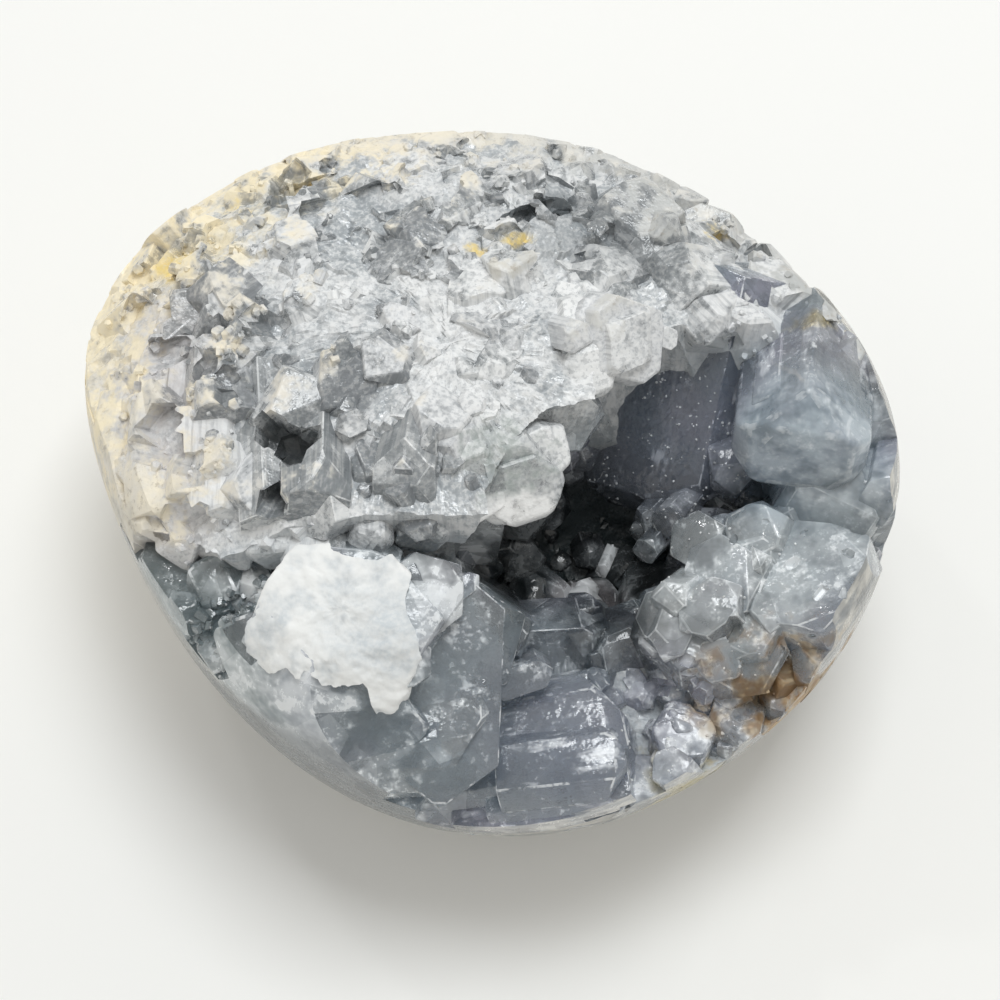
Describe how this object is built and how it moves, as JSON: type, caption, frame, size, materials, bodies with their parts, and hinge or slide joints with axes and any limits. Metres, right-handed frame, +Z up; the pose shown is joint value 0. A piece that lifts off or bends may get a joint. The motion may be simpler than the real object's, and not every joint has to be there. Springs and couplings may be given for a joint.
{
  "type": "celestite crystal cluster",
  "caption": "Half of a geode, ground smooth outside with a flat to stand on, its broken top a rough ledge beside a hollow lined with blocky blue-grey crystals.",
  "frame": {"origin": "on the resting face, under the middle of the cluster", "axes": "+X to the right, the longest way, from the ledge towards the hollow; +Y away from the viewer, towards the ledge's high side; +Z up"},
  "size_m": [0.0992, 0.0886, 0.0532],
  "materials": {
    "massive_celestite": "ground to a satin outside, rough and frosted where it is broken",
    "clear_celestite": "translucent blue-grey crystals, glassy, with white frosting"
  },
  "bodies": {
    "root": {"geode_wall": "massive_celestite", "crystal_crust": "clear_celestite"}
  },
  "joints": []
}
